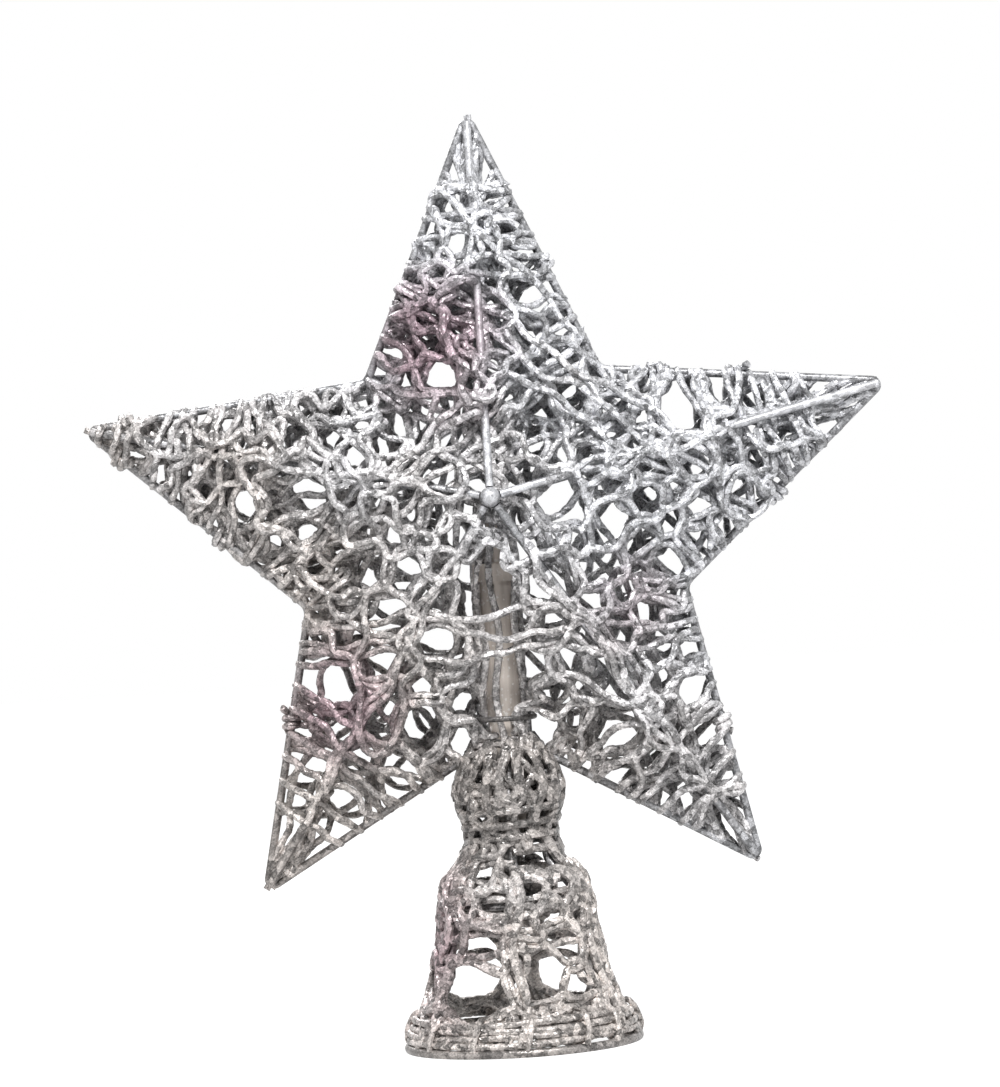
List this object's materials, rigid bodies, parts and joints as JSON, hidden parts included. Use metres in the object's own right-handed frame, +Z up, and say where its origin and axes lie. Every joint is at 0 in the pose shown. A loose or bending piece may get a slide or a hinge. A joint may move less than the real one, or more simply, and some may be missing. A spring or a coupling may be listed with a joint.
{
  "type": "tree topper star",
  "caption": "Two-sided wire star wound with glittered vine, on an open bell-shaped base with a socket tube that slips over the top shoot of a decorated tree.",
  "frame": {"origin": "middle of the base's foot, on the surface that it stands on", "axes": "+Z up to the top point, +X to the star's right seen from the front, front faces -Y"},
  "size_m": [0.2554, 0.077, 0.2982],
  "materials": {
    "frame_wire": "steel wire under silver glitter",
    "stem": "taupe-silver satin paint",
    "base_wire": "steel wire under warm silver glitter",
    "vine": "rattan vine coated with silver glitter"
  },
  "bodies": {
    "root": {"star_outline": "frame_wire", "front_hub": "frame_wire", "rear_hub": "frame_wire", "hub_spacer": "frame_wire", "stem_tie": "frame_wire", "front_ridge_top": "frame_wire", "front_ridge_right": "frame_wire", "front_ridge_lower_right": "frame_wire", "front_ridge_lower_left": "frame_wire", "front_ridge_left": "frame_wire", "rear_ridge_top": "frame_wire", "rear_ridge_right": "frame_wire", "rear_ridge_lower_right": "frame_wire", "rear_ridge_lower_left": "frame_wire", "rear_ridge_left": "frame_wire", "stem_tube": "stem", "stem_cap": "stem", "stem_post": "stem", "base_ring": "base_wire", "shoulder_ring": "base_wire", "neck_ring": "base_wire", "base_leg_1": "base_wire", "base_leg_2": "base_wire", "base_leg_3": "base_wire", "base_leg_4": "base_wire", "base_leg_5": "base_wire", "base_leg_6": "base_wire", "arm_winding_top": "vine", "arm_winding_right": "vine", "arm_winding_lower_right": "vine", "arm_winding_lower_left": "vine", "arm_winding_left": "vine", "body_winding_level": "vine", "body_winding_rising": "vine", "body_winding_falling": "vine", "hem_winding": "vine", "cone_winding": "vine", "bulb_winding": "vine"}
  },
  "joints": []
}
